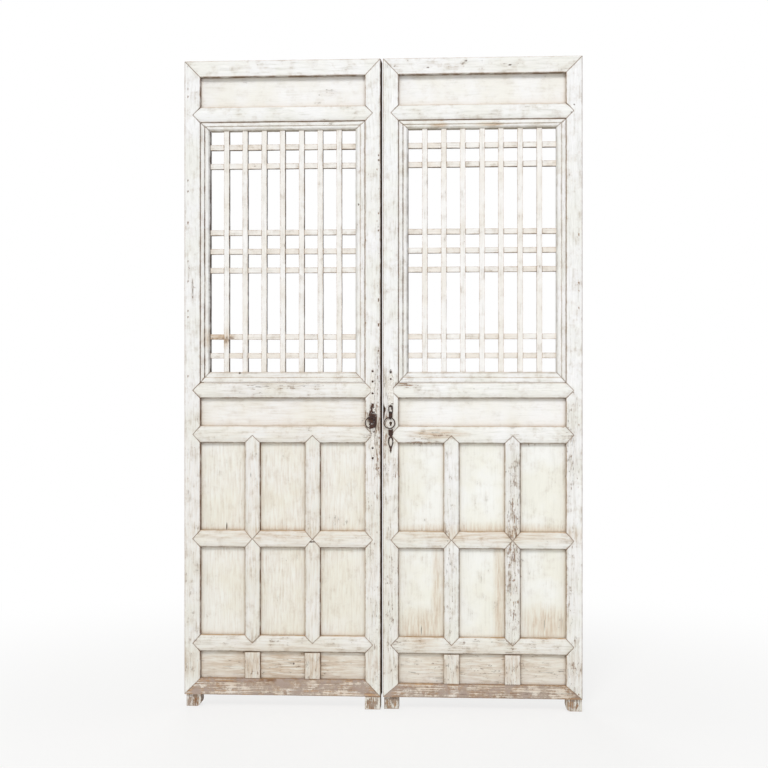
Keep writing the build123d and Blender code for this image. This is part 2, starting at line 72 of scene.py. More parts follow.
def add(tree, kind, inputs=None, **settings):
    """Adds a node and its settings. A kind without the word Node in it is a shader node.

    An input takes a value, a socket, or a node, whose first live output is then linked.
    """
    node = tree.nodes.new(kind if "Node" in kind else "ShaderNode" + kind)
    for name, value in settings.items():
        setattr(node, name, value)
    for socket, value in (inputs or {}).items():
        if isinstance(value, bpy.types.Node):
            value = next(output for output in value.outputs if output.enabled)
        if isinstance(value, bpy.types.NodeSocket):
            tree.links.new(value, node.inputs[socket])
        else:
            node.inputs[socket].default_value = value
    return node


def new_object(name, data):
    """A new object at the origin, linked into the scene."""
    made = bpy.data.objects.new(name, data)
    bpy.context.scene.collection.objects.link(made)
    return made


def new_material(name):
    """A material with an empty tree, and that tree."""
    material = bpy.data.materials.new(name)
    material.use_nodes = True
    material.node_tree.nodes.clear()
    return material, material.node_tree


def mesh_of(bm, name):
    """A plain mesh from a bmesh, which is then freed."""
    mesh = bpy.data.meshes.new(name)
    bm.to_mesh(mesh)
    bm.free()
    return mesh


# %% [markdown]
# ## The camera
#
# The photograph was taken level, from a little to the right of the meeting edges and about
# four metres off, so the uprights stay parallel. A camera that is only turned about the
# upright axis keeps them parallel here too.

# %% Camera
eye = Vector((0.256, -4.223, 1.042))
target = Vector((0.0074, -0.030, 1.042))
camera_data = bpy.data.cameras.new("camera")
camera_data.lens = 61.52
camera_data.sensor_width = 36
camera = new_object("camera", camera_data)
camera.location = eye
camera.rotation_euler = (math.pi / 2, 0, math.atan2(eye.x - target.x, target.y - eye.y))
bpy.context.scene.camera = camera
print("camera", round((eye - target).length, 2), "m from the leaves")

# %% [markdown]
# ## Light
#
# Rails cast a short soft shadow on the panels below them, and the two sides of a recess are
# about as light as each other: a large soft lamp stands high in front, nearly in the middle. A weak
# one fills from low on the right, a third lights the backs, and an even sky does the rest.
# The sky is white only to the camera, to reflections and through clear things, so the background
# is white without putting more light on the wood.

# %% Sky
SKY_LEVEL = 0.39
world = bpy.data.worlds.new("studio_sky")
bpy.context.scene.world = world
world.use_nodes = True
sky = world.node_tree
sky.nodes.clear()
ray = add(sky, "LightPath").outputs
seen = add(sky, "Math", {0: ray["Is Camera Ray"], 1: ray["Is Glossy Ray"]}, operation="ADD")
seen = add(sky, "Math", {0: seen, 1: ray["Is Transmission Ray"]}, operation="ADD",
           use_clamp=True)
level = add(sky, "MapRange", {0: seen, 3: SKY_LEVEL, 4: 1.0})
even = add(sky, "Background", {"Color": linear("#ffffff"), "Strength": level})
add(sky, "OutputWorld", {"Surface": even})

# %% Lamps: place and size in metres, power in watts
LAMPS = {
    "key": ((-0.7, -8.0, 7.4), 3.0, 470),
    "fill": ((2.0, -6.0, 0.9), 3.0, 70),
    "back": ((-1.2, 5.6, 2.8), 2.4, 110),
}
AIM = Vector((0.0, 0.0, 1.0))
for name, (place, size, power) in LAMPS.items():
    data = bpy.data.lights.new(name, "AREA")
    data.size = size
    data.energy = power
    lamp = new_object(name, data)
    lamp.location = place
    lamp.rotation_euler = (AIM - lamp.location).to_track_quat("-Z", "Y").to_euler()
bpy.context.scene.view_settings.view_transform = "Standard"
print(len(LAMPS), "lamps and a sky at", SKY_LEVEL)

# %% [markdown]
# ## The floor
#
# The floor is a pale disc that takes the leaves' shadow and fades into the white background.
# Near the leaves a good part of what the camera sees is real light on a matt surface, and
# towards the rim it is plain white.

# %% Floor
FLOOR_RADIUS = 3.2
FLOOR_DROP = 0.5 * MM
FADE_START = 0.6
FADE_END = 2.6
WHITE_NEAR = 0.72
bm = bmesh.new()
bmesh.ops.create_circle(bm, cap_ends=True, segments=96, radius=FLOOR_RADIUS)
floor = new_object("floor", mesh_of(bm, "floor"))
floor.location = (0, 0, -FLOOR_DROP)
pale, tree = new_material("pale_floor")
where = add(tree, "TexCoord")
away = add(tree, "VectorMath", {0: where.outputs["Object"]}, operation="LENGTH")
fade = add(tree, "MapRange", {0: away, 1: FADE_START, 2: FADE_END, 3: WHITE_NEAR, 4: 1.0},
           interpolation_type="SMOOTHSTEP")
ray = add(tree, "LightPath").outputs
seen = add(tree, "Math", {0: ray["Is Camera Ray"], 1: ray["Is Glossy Ray"]}, operation="ADD",
           use_clamp=True)
share = add(tree, "Math", {0: fade, 1: seen}, operation="MULTIPLY")
matt = add(tree, "BsdfDiffuse", {"Color": linear("#f4f3f0")})
white = add(tree, "Emission", {"Color": linear("#ffffff"), "Strength": 1.0})
both = add(tree, "MixShader", {0: share, 1: matt, 2: white})
add(tree, "OutputMaterial", {"Surface": both})
floor.data.materials.append(pale)

# %% [markdown]
# ## White lime paint on softwood
#
# The paint is thin, matt and brushed along each member, so it shows the grain through it.
# It has gone cream where hands and damp reached it, and it is lost first along the arrises
# and on the wettest members, where the wood shows tan or brown. Only the direction of the grain
# changes between uprights and rails. Patterns are stretched along the grain by scaling
# the object's own coordinates, and each board's number moves them so that no two boards are alike.

# %% Patterns along the grain
STRETCH = 0.10
SPAN = {"upright": (1.0, 1.0, STRETCH), "level": (STRETCH, 1.0, 1.0), "weathered": (0.03, 1.0, 1.0)}
BOARD_STEP = (7.3, 3.1, 9.7)


def per_mm(size):
    """The noise scale whose blots are about that many millimetres across."""
    return 1000.0 / (2.0 * size)


def wood_pattern(tree, grain):
    """Coordinates for round blots, for streaks along the grain, and for places on the leaf."""
    here = add(tree, "TexCoord").outputs["Object"]
    board = add(tree, "Attribute", attribute_name="board").outputs["Vector"]
    shift = add(tree, "VectorMath", {0: board, 1: BOARD_STEP}, operation="MULTIPLY")
    blots = add(tree, "VectorMath", {0: here, 1: shift}, operation="ADD")
    streaks = add(tree, "VectorMath", {0: blots, 1: SPAN[grain]}, operation="MULTIPLY")
    return blots, streaks, here


def facing(tree, x, z):
    """How squarely the surface faces one way, in the object's own directions, from 0 to 1."""
    normal = add(tree, "TexCoord").outputs["Normal"]
    along = add(tree, "VectorMath", {0: normal, 1: (x, 0.0, z)}, operation="DOT_PRODUCT")
    return add(tree, "MapRange", {0: along, 1: 0.45, 2: 0.85})


def arris(tree, reach, flat, sharp):
    """How near an arris a point is, from how far a rounded normal turns away from the true one."""
    soft = add(tree, "Bevel", {"Radius": reach}, samples=6)
    true = add(tree, "NewGeometry").outputs["True Normal"]
    turn = add(tree, "VectorMath", {0: soft, 1: true}, operation="DOT_PRODUCT")
    return add(tree, "MapRange", {0: turn, 1: flat, 2: sharp})


# %% [markdown]
# ### Thin paint
#
# Old limewash isn't one white. Broad clouds of cream lie in it, more of them towards the floor.
# Where the brush left it thin, the grain shows as light and dark hairs and as grey broken lines.

# %% Thin paint
def thin_paint(tree, blots, streaks, low, stain, white, cream, hair):
    """White paint that goes cream, with the grain in it. Also gives the noise of the grey lines."""
    clouds = add(tree, "TexNoise", {"Vector": blots, "Scale": per_mm(60), "Detail": 4.0})
    tone = add(tree, "MapRange", {0: clouds, 1: 0.40, 2: 0.62, 3: 0.0, 4: 0.7})
    tone = add(tree, "Math", {0: tone, 1: low}, operation="ADD")
    tone = add(tree, "Math", {0: tone, 1: stain}, operation="ADD", use_clamp=True)
    paint = add(tree, "Mix", {0: tone, 6: linear(white), 7: linear(cream)}, data_type="RGBA")
    hairs = add(tree, "TexNoise", {"Vector": streaks, "Scale": per_mm(1.5), "Detail": 3.0})
    shade = add(tree, "MapRange", {0: hairs, 1: 0.30, 2: 0.70, 3: 1.0 - 0.16 * hair,
                                             4: 1.0 + 0.07 * hair})
    paint = add(tree, "VectorMath", {0: paint, "Scale": shade}, operation="SCALE")
    lines = add(tree, "TexNoise", {"Vector": streaks, "Scale": per_mm(3.0), "Detail": 6.0,
                                             "Roughness": 0.68})
    mask = add(tree, "MapRange", {0: lines, 1: 0.53, 2: 0.68, 3: 0.0, 4: hair})
    paint = add(tree, "Mix", {0: mask, 6: paint, 7: linear("#bfbdb2")}, data_type="RGBA")
    return paint, lines


# %% [markdown]
# ### Smudges, stains, dirt and painted shade
#
# Hands and weather have thinned the paint to a grey brown, in short strokes along the grain. Rust
# and damp have run down into warmer stains. The corners, where little sky reaches the surface, are
# darkened, brown in the deep ones and tan where it thins out: partly dust settled there, partly painted
# shade.

# %% Smudges, stains, dirt and painted shade
NOOK_REACH = 12 * MM
# Corner tints from ambient occlusion, as start, end, strength and colour: dust and painted shade
# together.
NOOK_DIRT_AND_SHADE = ((0.92, 0.55, 0.20, "#c4a67c"), (0.58, 0.30, 0.42, "#735b40"))


def soiled_and_shaded(tree, paint, lines, blots, low, wear, stain, smudge):
    """The paint with smudges, stains, and dirt and painted shade in its corners. Also gives the noise of
    the smudges.
    """
    rubs = add(tree, "TexNoise", {"Vector": blots, "Scale": per_mm(18), "Detail": 6.0,
                                            "Roughness": 0.66})
    more = add(tree, "MapRange", {0: rubs, 1: 0.50, 2: 0.68, 3: 0.0, 4: smudge})
    for source, share in ((stain, 0.5), (low, 0.10), (wear, 0.22)):
        more = add(tree, "Math", {0: source, 1: share, 2: more}, operation="MULTIPLY_ADD")
    strokes = add(tree, "MapRange", {0: lines, 1: 0.38, 2: 0.60, 3: 0.15, 4: 1.0})
    rubbed = add(tree, "Math", {0: more, 1: strokes}, operation="MULTIPLY", use_clamp=True)
    paint = add(tree, "Mix", {0: rubbed, 6: paint, 7: linear("#b5a58f")}, data_type="RGBA")
    damp = add(tree, "Math", {0: stain, 1: strokes}, operation="MULTIPLY")
    damp = add(tree, "Math", {0: damp, 1: 0.55}, operation="MULTIPLY", use_clamp=True)
    paint = add(tree, "Mix", {0: damp, 6: paint, 7: linear("#cfa273")}, data_type="RGBA")
    # Corners darkened from ambient occlusion: partly dust settled there, partly painted shade.
    nook = add(tree, "AmbientOcclusion", {"Distance": NOOK_REACH}, samples=8).outputs["AO"]
    for start, end, most, tint in NOOK_DIRT_AND_SHADE:
        dirt_and_shade = add(tree, "MapRange", {0: nook, 1: start, 2: end, 3: 0.0, 4: most})
        paint = add(tree, "Mix", {0: dirt_and_shade, 6: paint, 7: linear(tint)}, data_type="RGBA")
    return paint, rubs


# %% [markdown]
# ### Arrises and flanks
#
# Arrises are rubbed through to tan wood, in patches. The flanks of the members show the wood's own grain
# with a little paint dragged over it, in a colour for each way they face. The darker of these colours are
# painted shade on the sides the lamps leave dark, mostly the faces that look down and those that look
# right.

# %% Arrises and flanks
SIDES = ((1, 0), (-1, 0), (0, -1), (0, 1))


def rubbed_arrises(tree, paint, edge, rubs):
    """The paint rubbed thin along the arrises."""
    patches = add(tree, "MapRange", {0: rubs, 1: 0.38, 2: 0.60, 3: 0.35, 4: 0.90})
    share = add(tree, "Math", {0: edge, 1: patches}, operation="MULTIPLY")
    return add(tree, "Mix", {0: share, 6: paint, 7: linear("#a37b52")}, data_type="RGBA")


def flanks_with_painted_shade(tree, paint, lines, rubs, flanks):
    """Wood with painted shade on the faces that look right, left, down and up, each with its own colour.
    """
    figure = add(tree, "MapRange", {0: lines, 1: 0.36, 2: 0.64, 3: 1.16, 4: 0.78})
    dragged = add(tree, "MapRange", {0: rubs, 1: 0.54, 2: 0.40, 3: 1.0, 4: 0.55})
    # Each facing gets its own colour: the wood's grain, darkened as painted shade where the lamps leave
    # that side dark.
    for (x, z), tint in zip(SIDES, flanks):
        wood = add(tree, "VectorMath", {0: linear(tint)[:3], "Scale": figure},
                   operation="SCALE")
        share = add(tree, "Math", {0: facing(tree, x, z), 1: dragged}, operation="MULTIPLY")
        paint = add(tree, "Mix", {0: share, 6: paint, 7: wood}, data_type="RGBA")
    return paint


# %% [markdown]
# ### Lost paint
#
# Paint comes off in thin broken chips along the grain, more of them at edges, marks and near the
# floor. Each chip has a darker rim, where dirt has crept under the paint, round wood
# that has gone from tan to grey.

# %% Lost paint
def lost_paint(tree, paint, blots, streaks, rubs, causes, loss, fade, bare):
    """The paint with its chips, then the noise of the chips and the mask of the bare wood."""
    chips = add(tree, "TexNoise", {"Vector": streaks, "Scale": per_mm(1.8), "Detail": 5.0,
                                             "Roughness": 0.68, "Distortion": 0.4})
    specks = add(tree, "TexNoise", {"Vector": blots, "Scale": per_mm(5), "Detail": 4.0,
                                              "Roughness": 0.7})
    total = add(tree, "Math", {0: chips, 1: 0.8}, operation="MULTIPLY")
    for source, share in ((specks, 0.35), (rubs, 0.40)) + causes:
        total = add(tree, "Math", {0: source, 1: share, 2: total}, operation="MULTIPLY_ADD")
    start = 0.985 - loss
    gone = add(tree, "MapRange", {0: total, 1: start, 2: start + fade})
    rim = add(tree, "MapRange", {0: total, 1: start - 0.02, 2: start + 0.005, 3: 0.0, 4: 0.6})
    inner = add(tree, "MapRange", {0: total, 1: start + 0.01, 2: start + 0.05, 3: 1.0, 4: 0.0})
    rim = add(tree, "Math", {0: rim, 1: inner}, operation="MULTIPLY")
    figure = add(tree, "TexNoise", {"Vector": streaks, "Scale": per_mm(3.0), "Detail": 5.0,
                                              "Roughness": 0.65})
    figure = add(tree, "MapRange", {0: figure, 1: 0.38, 2: 0.60})
    weather = add(tree, "MapRange", {0: rubs, 1: 0.42, 2: 0.60})
    fresh, brown, grey = [linear(tint) for tint in bare]
    wood = add(tree, "Mix", {0: figure, 6: fresh, 7: brown}, data_type="RGBA")
    wood = add(tree, "Mix", {0: weather, 6: wood, 7: grey}, data_type="RGBA")
    paint = add(tree, "Mix", {0: gone, 6: paint, 7: wood}, data_type="RGBA")
    paint = add(tree, "Mix", {0: rim, 6: paint, 7: linear("#7a5a44")}, data_type="RGBA")
    return paint, chips, gone


# %% [markdown]
# ### Cracks and knots
#
# Hair cracks follow the grain, mostly where the wood is worn. A crack is drawn where a stretched
# noise passes its middle value. Knots, holes and rot are marks with a ragged outline.

# %% Cracks and knots
def cracked(tree, colour, streaks, rubs, chips, wear, dark):
    """The colour with cracks and knots in it, and the mask of both."""
    split = add(tree, "TexNoise", {"Vector": streaks, "Scale": per_mm(11), "Detail": 3.0})
    off = add(tree, "Math", {0: split, 1: 0.5}, operation="SUBTRACT")
    off = add(tree, "Math", {0: off}, operation="ABSOLUTE")
    line = add(tree, "MapRange", {0: off, 1: 0.006, 2: 0.001})
    gate = add(tree, "Math", {0: wear, 1: 0.25, 2: rubs}, operation="MULTIPLY_ADD")
    gate = add(tree, "MapRange", {0: gate, 1: 0.60, 2: 0.68})
    crack = add(tree, "Math", {0: line, 1: gate}, operation="MULTIPLY")
    ragged = add(tree, "Math", {0: chips, 1: 0.8, 2: dark}, operation="MULTIPLY_ADD")
    deep = add(tree, "MapRange", {0: ragged, 1: 0.80, 2: 1.10})
    black = add(tree, "Math", {0: crack, 1: 0.6, 2: deep}, operation="MULTIPLY_ADD",
                use_clamp=True)
    colour = add(tree, "Mix", {0: black, 6: colour, 7: linear("#54402f")}, data_type="RGBA")
    return colour, black


# %% [markdown]
# ### The finishes
#
# Every member wears the same coats in the same order, and they differ in how white, how dirty and
# how bare they are. Paint stands proud of the wood and the grain stands through it,
# as a relief of at most a millimetre. Dry wood is rougher than paint.

# %% The coats together
ARRIS_REACH = 3.6 * MM
DAMP_TOP = 1.15
DAMP_FOOT = 0.05
DAMP_MOST = 0.32


def painted_wood(name, grain, white, cream, loss, smudge, hair, bare, flanks):
    """Softwood under worn white paint.

    loss is how much of the paint has gone, smudge how dirty it is, and hair how strongly the
    grain shows through. bare holds the colours of fresh, brown and grey wood, and the flank colours are
    those of the faces that look right, left, down and up: wood with painted shade in the darker ones.
    """
    material, tree = new_material(name)
    blots, streaks, here = wood_pattern(tree, grain)
    wear, stain, dark = [add(tree, "Attribute", attribute_name=kind).outputs["Fac"]
                         for kind in ("wear", "stain", "dark")]
    height = add(tree, "SeparateXYZ", {0: here}).outputs["Z"]
    low = add(tree, "MapRange", {0: height, 1: DAMP_TOP, 2: DAMP_FOOT, 3: 0.0, 4: DAMP_MOST})
    paint, lines = thin_paint(tree, blots, streaks, low, stain, white, cream, hair)
    paint, rubs = soiled_and_shaded(tree, paint, lines, blots, low, wear, stain, smudge)
    edge = arris(tree, ARRIS_REACH, 0.995, 0.86)
    paint = rubbed_arrises(tree, paint, edge, rubs)
    paint = flanks_with_painted_shade(tree, paint, lines, rubs, flanks)
    causes = ((edge, 0.10), (wear, 0.105), (low, 0.05))
    fade = 0.07 if grain == "weathered" else 0.035
    paint, chips, gone = lost_paint(tree, paint, blots, streaks, rubs, causes, loss, fade, bare)
    colour, black = cracked(tree, paint, streaks, rubs, chips, wear, dark)
    raised = add(tree, "Math", {0: gone, 1: -0.6, 2: lines}, operation="MULTIPLY_ADD")
    raised = add(tree, "Math", {0: black, 1: -1.0, 2: raised}, operation="MULTIPLY_ADD")
    relief = add(tree, "Bump", {"Height": raised, "Strength": 0.6, "Distance": 1.0 * MM})
    rough = add(tree, "MapRange", {0: gone, 3: 0.72, 4: 0.92})
    surface = add(tree, "BsdfPrincipled", {
        "Base Color": colour, "Roughness": rough, "Normal": relief, "IOR": 1.45,
        "Specular IOR Level": 0.3})
    add(tree, "OutputMaterial", {"Surface": surface})
    return material


# %% The finishes: name, grain, white, cream, loss, smudge, hair, bare wood, flanks with painted shade
TAN = ("#c49d73", "#886850", "#ab9a8c")
DRY = ("#c79c6c", "#8a694f", "#b3a196")
# Flank colours for faces looking right, left, down and up: wood, with painted shade in the darker ones.
STILE_FLANKS_WITH_SHADE = ("#6b4a30", "#a98b68", "#5b4b36", "#a38768")
MEMBER_FLANKS_WITH_SHADE = ("#ddd2c0", "#e6dcca", "#7a634a", "#c09c72")
BAR_FLANKS_WITH_SHADE = ("#34241b", "#d2ccc2", "#746657", "#b8a48c")
LATTICE_FRAME_FLANKS_WITH_SHADE = ("#4a3629", "#d2ccc2", "#b3a896", "#b8a48c")
STILE_COAT = ("#fafafa", "#f2f2eb", 0.004, 0.50, 0.5, TAN)
RAIL_COAT = ("#fafaf9", "#f3f2ea", 0.006, 0.52, 0.5, TAN)
FINISHES = {
    "stile": ("limewashed_stile", "upright", *STILE_COAT, STILE_FLANKS_WITH_SHADE),
    "rail": ("limewashed_rail", "level", *RAIL_COAT, MEMBER_FLANKS_WITH_SHADE),
    "upright_board": ("limewashed_field_panel", "upright", "#fafbf8", "#f4f3e8", -0.03, 0.26, 0.19, TAN,
                      MEMBER_FLANKS_WITH_SHADE),
    "level_board": ("limewashed_long_panel", "level", "#fbfbfa", "#f5f3ea", -0.03, 0.26, 0.20, TAN,
                    MEMBER_FLANKS_WITH_SHADE),
    "light_stile": ("limewashed_light_stile", "upright", *STILE_COAT, LATTICE_FRAME_FLANKS_WITH_SHADE),
    "light_rail": ("limewashed_light_rail", "level", *RAIL_COAT, LATTICE_FRAME_FLANKS_WITH_SHADE),
    "bottom_rail": ("bare_bottom_rail", "weathered", "#f8f4ee", "#e3d6c6", 0.205, 0.8, 0.7, DRY,
                    MEMBER_FLANKS_WITH_SHADE),
    "upright_bar": ("limewashed_upright_bar", "upright", "#fbfaf8", "#f3eee5", -0.01, 0.4, 0.4, TAN,
                    BAR_FLANKS_WITH_SHADE),
    "level_bar": ("limewashed_crossbar", "level", "#f9f7f3", "#f1e8dc", 0.01, 0.6, 0.5, TAN, BAR_FLANKS_WITH_SHADE),
}
finish = {key: painted_wood(*look) for key, look in FINISHES.items()}
print(len(finish), "finishes for wood:", sorted(finish))

# %% [markdown]
# ## Worn members
#
# On the bench a stile is a straight, sharp-edged bar. A century of handling has rounded its arrises
# and left them slightly wavy. A copy of each packed member gets its loose triangles merged,
# its edges eased, a net of cuts fine enough to carry the wear, and then every point is moved
# a fraction of a millimetre inwards by noise. The fronts of rails and muntins are slightly pillowed,
# so they fall away towards their long edges. Coats of paint have nearly filled the narrow
# quirk beside each stile's bead. Nothing grows, so the joints still fit.

# %% Which member gets which finish
FINISH_OF = {
    "outer_stile": "stile", "meeting_stile": "stile", "top_rail": "rail", "bottom_rail": "bottom_rail",
    "frieze_rail": "rail", "upper_lock_rail": "rail", "lower_lock_rail": "rail", "apron_rail": "rail",
    "cross_rails": "rail", "outer_muntin": "stile", "inner_muntin": "stile", "apron_muntins": "stile",
    "frieze_panel": "level_board", "lock_panel": "level_board", "apron_panel": "level_board",
    "upper_panels": "upright_board", "lower_panels": "upright_board",
    "lattice_outer_stile": "light_stile", "lattice_inner_stile": "light_stile",
    "lattice_head": "light_rail", "lattice_sill": "light_rail",
}
CROWNED = ("frieze_rail", "upper_lock_rail", "lower_lock_rail", "apron_rail", "cross_rails",
           "outer_muntin", "inner_muntin")

# %% How a member is worn
MERGE = 0.01 * MM
CELL = 5.0 * MM
EASE = 1.3 * MM
SHORTEST_EDGE = 6 * MM
FRONT = -30 * MM
QUIRK = (6.5 * MM, 14 * MM)
QUIRK_DEPTH = 2 * MM
QUIRK_LEFT = 0.12
CROWN = 6.0 * MM
CROWN_REACH = 20 * MM
CROWN_DEPTH = 3 * MM
WAVE = 55
WAVE_MM = 0.30
RIPPLE = 14
RIPPLE_MM = 0.22


def cut_every(bm, axis, step):
    """Cuts the whole mesh by planes across one axis, one step apart."""
    places = [v.co[axis] for v in bm.verts]
    low, high = min(places), max(places)
    count = int((high - low) / step)
    normal = Vector([1.0 if n == axis else 0.0 for n in range(3)])
    for n in range(1, count):
        point = normal * (low + (high - low) * n / count)
        bmesh.ops.bisect_plane(bm, geom=bm.verts[:] + bm.edges[:] + bm.faces[:], dist=1e-6,
                               plane_co=point, plane_no=normal)


def eased_edges(bm):
    """Sharp outward edges, long enough to have been worn round."""
    edges = []
    for e in bm.edges:
        if len(e.link_faces) == 2 and e.is_convex and e.calc_length() > SHORTEST_EDGE:
            if e.calc_face_angle(0) > math.radians(30):
                edges.append(e)
    return edges


def worn_member(name, seed, cell=CELL, ease=EASE, depth=1.0):
    """A worn copy of one packed member, as a new object at the origin."""
    low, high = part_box(name)
    across = 2 if high.x - low.x > high.z - low.z else 0
    crowned = name.split("_", 1)[1] in CROWNED
    bm = bmesh.new()
    bm.from_mesh(nodes[name].data)
    bmesh.ops.remove_doubles(bm, verts=bm.verts[:], dist=MERGE)
    bmesh.ops.dissolve_limit(bm, angle_limit=math.radians(1), verts=bm.verts[:], edges=bm.edges[:])
    bmesh.ops.bevel(bm, geom=eased_edges(bm), offset=ease, segments=2, profile=0.5, affect="EDGES",
                    clamp_overlap=True)
    cut_every(bm, 2, cell)
    cut_every(bm, 0, cell)
    bm.normal_update()
    for v in bm.verts:
        place = v.co * 1000 + Vector((seed * 31.7, 0, 0))
        wave = 0.5 + 0.5 * noise.noise(place / WAVE)
        ripple = 0.5 + 0.5 * noise.noise(place / RIPPLE)
        v.co -= v.normal * (WAVE_MM * wave + RIPPLE_MM * ripple) * depth * MM
        to_edge = min(v.co.x - low.x, high.x - v.co.x)
        if "stile" in name and QUIRK[0] < to_edge < QUIRK[1] and v.co.y < FRONT + QUIRK_DEPTH:
            v.co.y = FRONT + (v.co.y - FRONT) * QUIRK_LEFT
        inside = min(v.co[across] - low[across], high[across] - v.co[across])
        if crowned and v.co.y < FRONT + CROWN_DEPTH and 0 <= inside < CROWN_REACH:
            v.co.y += CROWN * (1 - inside / CROWN_REACH) ** 2
    bmesh.ops.triangulate(bm, faces=[f for f in bm.faces if len(f.verts) > 4])
    piece = new_object("worn_" + name, mesh_of(bm, "worn_" + name))
    piece.data.shade_smooth()
    piece.data.set_sharp_from_angle(angle=math.radians(28))
    return piece


# %% [markdown]
# ## Marks that the years have left
#
# Chips, cracks, knots and stains sit at their own places on the real leaves. Each is a named ellipse
# in real millimetres: its middle, its half sizes, and how strong it is. They are written
# into the meshes as three numbers a point: wear takes the paint off, stain yellows it
# and dark is a hole, a knot or rot. Noise in the paint's own nodes makes their outlines ragged.

# %% Marks in millimetres from the middle of the floor line: x, z, half width, half height, strength
MARKS = {
    "wear": {
        "crack in the left outer stile, upper arm": (-624, 1405, 5, 34, 1.6),
        "crack in the left outer stile, lower arm": (-612, 1352, 5, 34, 1.6),
        "chip in the left outer edge": (-634, 427, 5, 26, 1.6),
        "broken end of a left crossbar": (-520, 1184, 34, 7, 1.9),
        "rubbed left lock rail": (-330, 1034, 150, 10, 1.2),
        "rubbed left lock rail, lower part": (-460, 1014, 90, 10, 0.9),
        "nick in the lower lock rail": (-234, 898, 8, 7, 1.2),
        "rubbed frieze panel": (-169, 1982, 34, 9, 1.4),
        "rubbed frieze panel, left end": (-529, 1996, 20, 9, 1.2),
        "rubbed frieze rail": (-200, 1884, 80, 8, 1.0),
        "grime beside the left pull": (-14, 890, 13, 210, 1.5),
        "grime beside the right pull": (14, 900, 10, 170, 1.4),
        "grime under the left ring": (-44, 915, 20, 60, 1.4),
        "bare rim of the left leaf, top": (-8, 1560, 5, 360, 0.8),
        "right lock rail, bare end": (74, 1038, 44, 9, 1.9),
        "bare patch under the right pull": (176, 876, 76, 11, 1.2),
        "chipped lower edge": (126, 852, 80, 7, 1.8),
        "chipped lower edge, far end": (469, 850, 50, 5, 1.8),
        "crazed right stile": (604, 842, 24, 130, 1.1),
        "crazed right stile, low": (604, 420, 22, 230, 0.8),
        "crazed right stile, lowest": (606, 160, 22, 90, 1.0),
        "flaked outer muntin": (419, 508, 24, 330, 1.5),
        "flaked inner muntin": (218, 480, 20, 300, 0.7),
        "flakes on the right meeting stile": (46, 764, 12, 30, 1.5),
        "flake below": (43, 645, 8, 14, 1.4),
        "flake at the edge": (17, 671, 6, 14, 1.4),
        "worn foot of the right meeting stile": (30, 330, 18, 280, 0.8),
        "chip in the right apron rail": (307, 226, 16, 5, 1.6),
        "worn right apron rail": (330, 214, 290, 16, 0.4),
        "chip in the right frieze rail": (190, 1883, 14, 5, 1.5),
        "corner chip": (17, 2059, 8, 8, 1.5),
        "worn right top rail": (330, 2056, 250, 14, 0.3),
        "worn left outer stile": (-608, 760, 20, 330, 0.4),
        "worn left outer stile, low": (-608, 250, 20, 200, 0.5),
        "worn left meeting stile": (-30, 420, 20, 380, 0.6),
        "worn left apron rail": (-330, 214, 280, 16, 0.5),
        "worn left apron": (-330, 130, 280, 40, 0.9),
        "worn right apron": (330, 130, 280, 40, 0.9),
        "ring knot in the right outer panel": (573, 277, 8, 22, 1.3),
        "worn left foot": (-609, 18, 30, 26, 2.2),
        "worn right foot of the left leaf": (-33, 18, 30, 26, 2.2),
        "worn left foot of the right leaf": (29, 18, 30, 26, 2.2),
        "worn right foot": (607, 18, 30, 26, 2.2),
        "nail rust at the left pull": (-26, 978, 10, 12, 1.2),
    },
    "stain": {
        "orange streaks on the lattice head": (186, 1870, 22, 6, 1.0),
        "more of them": (346, 1870, 40, 5, 0.9),
        "yellowed lower left leaf": (-320, 560, 330, 460, 0.25),
        "left apron": (-320, 140, 290, 60, 0.6),
        "right apron": (320, 140, 290, 60, 0.4),
        "right panel foot": (126, 250, 60, 60, 0.6),
        # The next two marks warm and darken a strip down the right side of two panels of the right leaf,
        # beside the muntin.
        "right panel side": (176, 360, 14, 170, 0.5),
        "middle panel side": (374, 360, 14, 170, 0.55),
        "right panel foot, far one": (518, 273, 60, 50, 0.6),
        "upper panel feet, right leaf": (330, 562, 290, 26, 0.55),
        "upper panel feet, left leaf": (-330, 562, 290, 26, 0.5),
        "crossbar ends": (-532, 1190, 40, 30, 0.8),
        "patch on the lower lock rail": (176, 882, 76, 12, 0.8),
    },
    "dark": {
        "split in the left outer stile": (-624, 1405, 1.2, 40, 0.6),
        "split, lower arm": (-612, 1352, 1.2, 40, 0.6),
        "nail hole by the lattice": (-74, 1617, 3.5, 3.5, 1.0),
        "crack in the first upper panel": (-503, 581, 2, 16, 0.9),
        "crack in the left muntin": (-422, 749, 1.5, 12, 0.6),
        "crack lower in that muntin": (-420, 617, 1.5, 20, 0.6),
        "gap at the cross rail's tip": (-224, 535, 10, 2.5, 0.9),
        "knot in the apron": (-286, 139, 5, 4, 0.9),
        "nail in the apron": (-124, 138, 3, 3, 1.0),
        "spot on the sill": (-459, 1077, 4.5, 4, 0.9),
        "spot on the lock rail": (-202, 1013, 5, 4, 0.5),
        "knot in the right top rail": (148, 2054, 6, 4, 0.8),
        "second knot": (269, 2072, 5, 3.5, 0.8),
        "third knot": (320, 2071, 5, 3.5, 0.7),
        "fourth knot": (409, 2057, 6, 4, 0.8),
        "hole in the right stile": (613, 1930, 3, 3, 1.0),
        "hole below it": (603, 1905, 3, 3, 1.0),
        "spot on the right lock rail": (295, 1026, 5, 3.5, 0.6),
        "second spot there": (339, 1029, 5, 3.5, 0.6),
        "crack in a lower panel": (126, 250, 1.6, 22, 0.7),
        "crack in the last lower panel": (518, 273, 1.6, 36, 0.7),
        "worn notch in the right meeting edge": (6, 952, 5, 30, 0.9),
        "rotten end of a left crossbar": (-551, 1184, 5, 6, 0.9),
    },
}
MARK_FRONT = -0.005


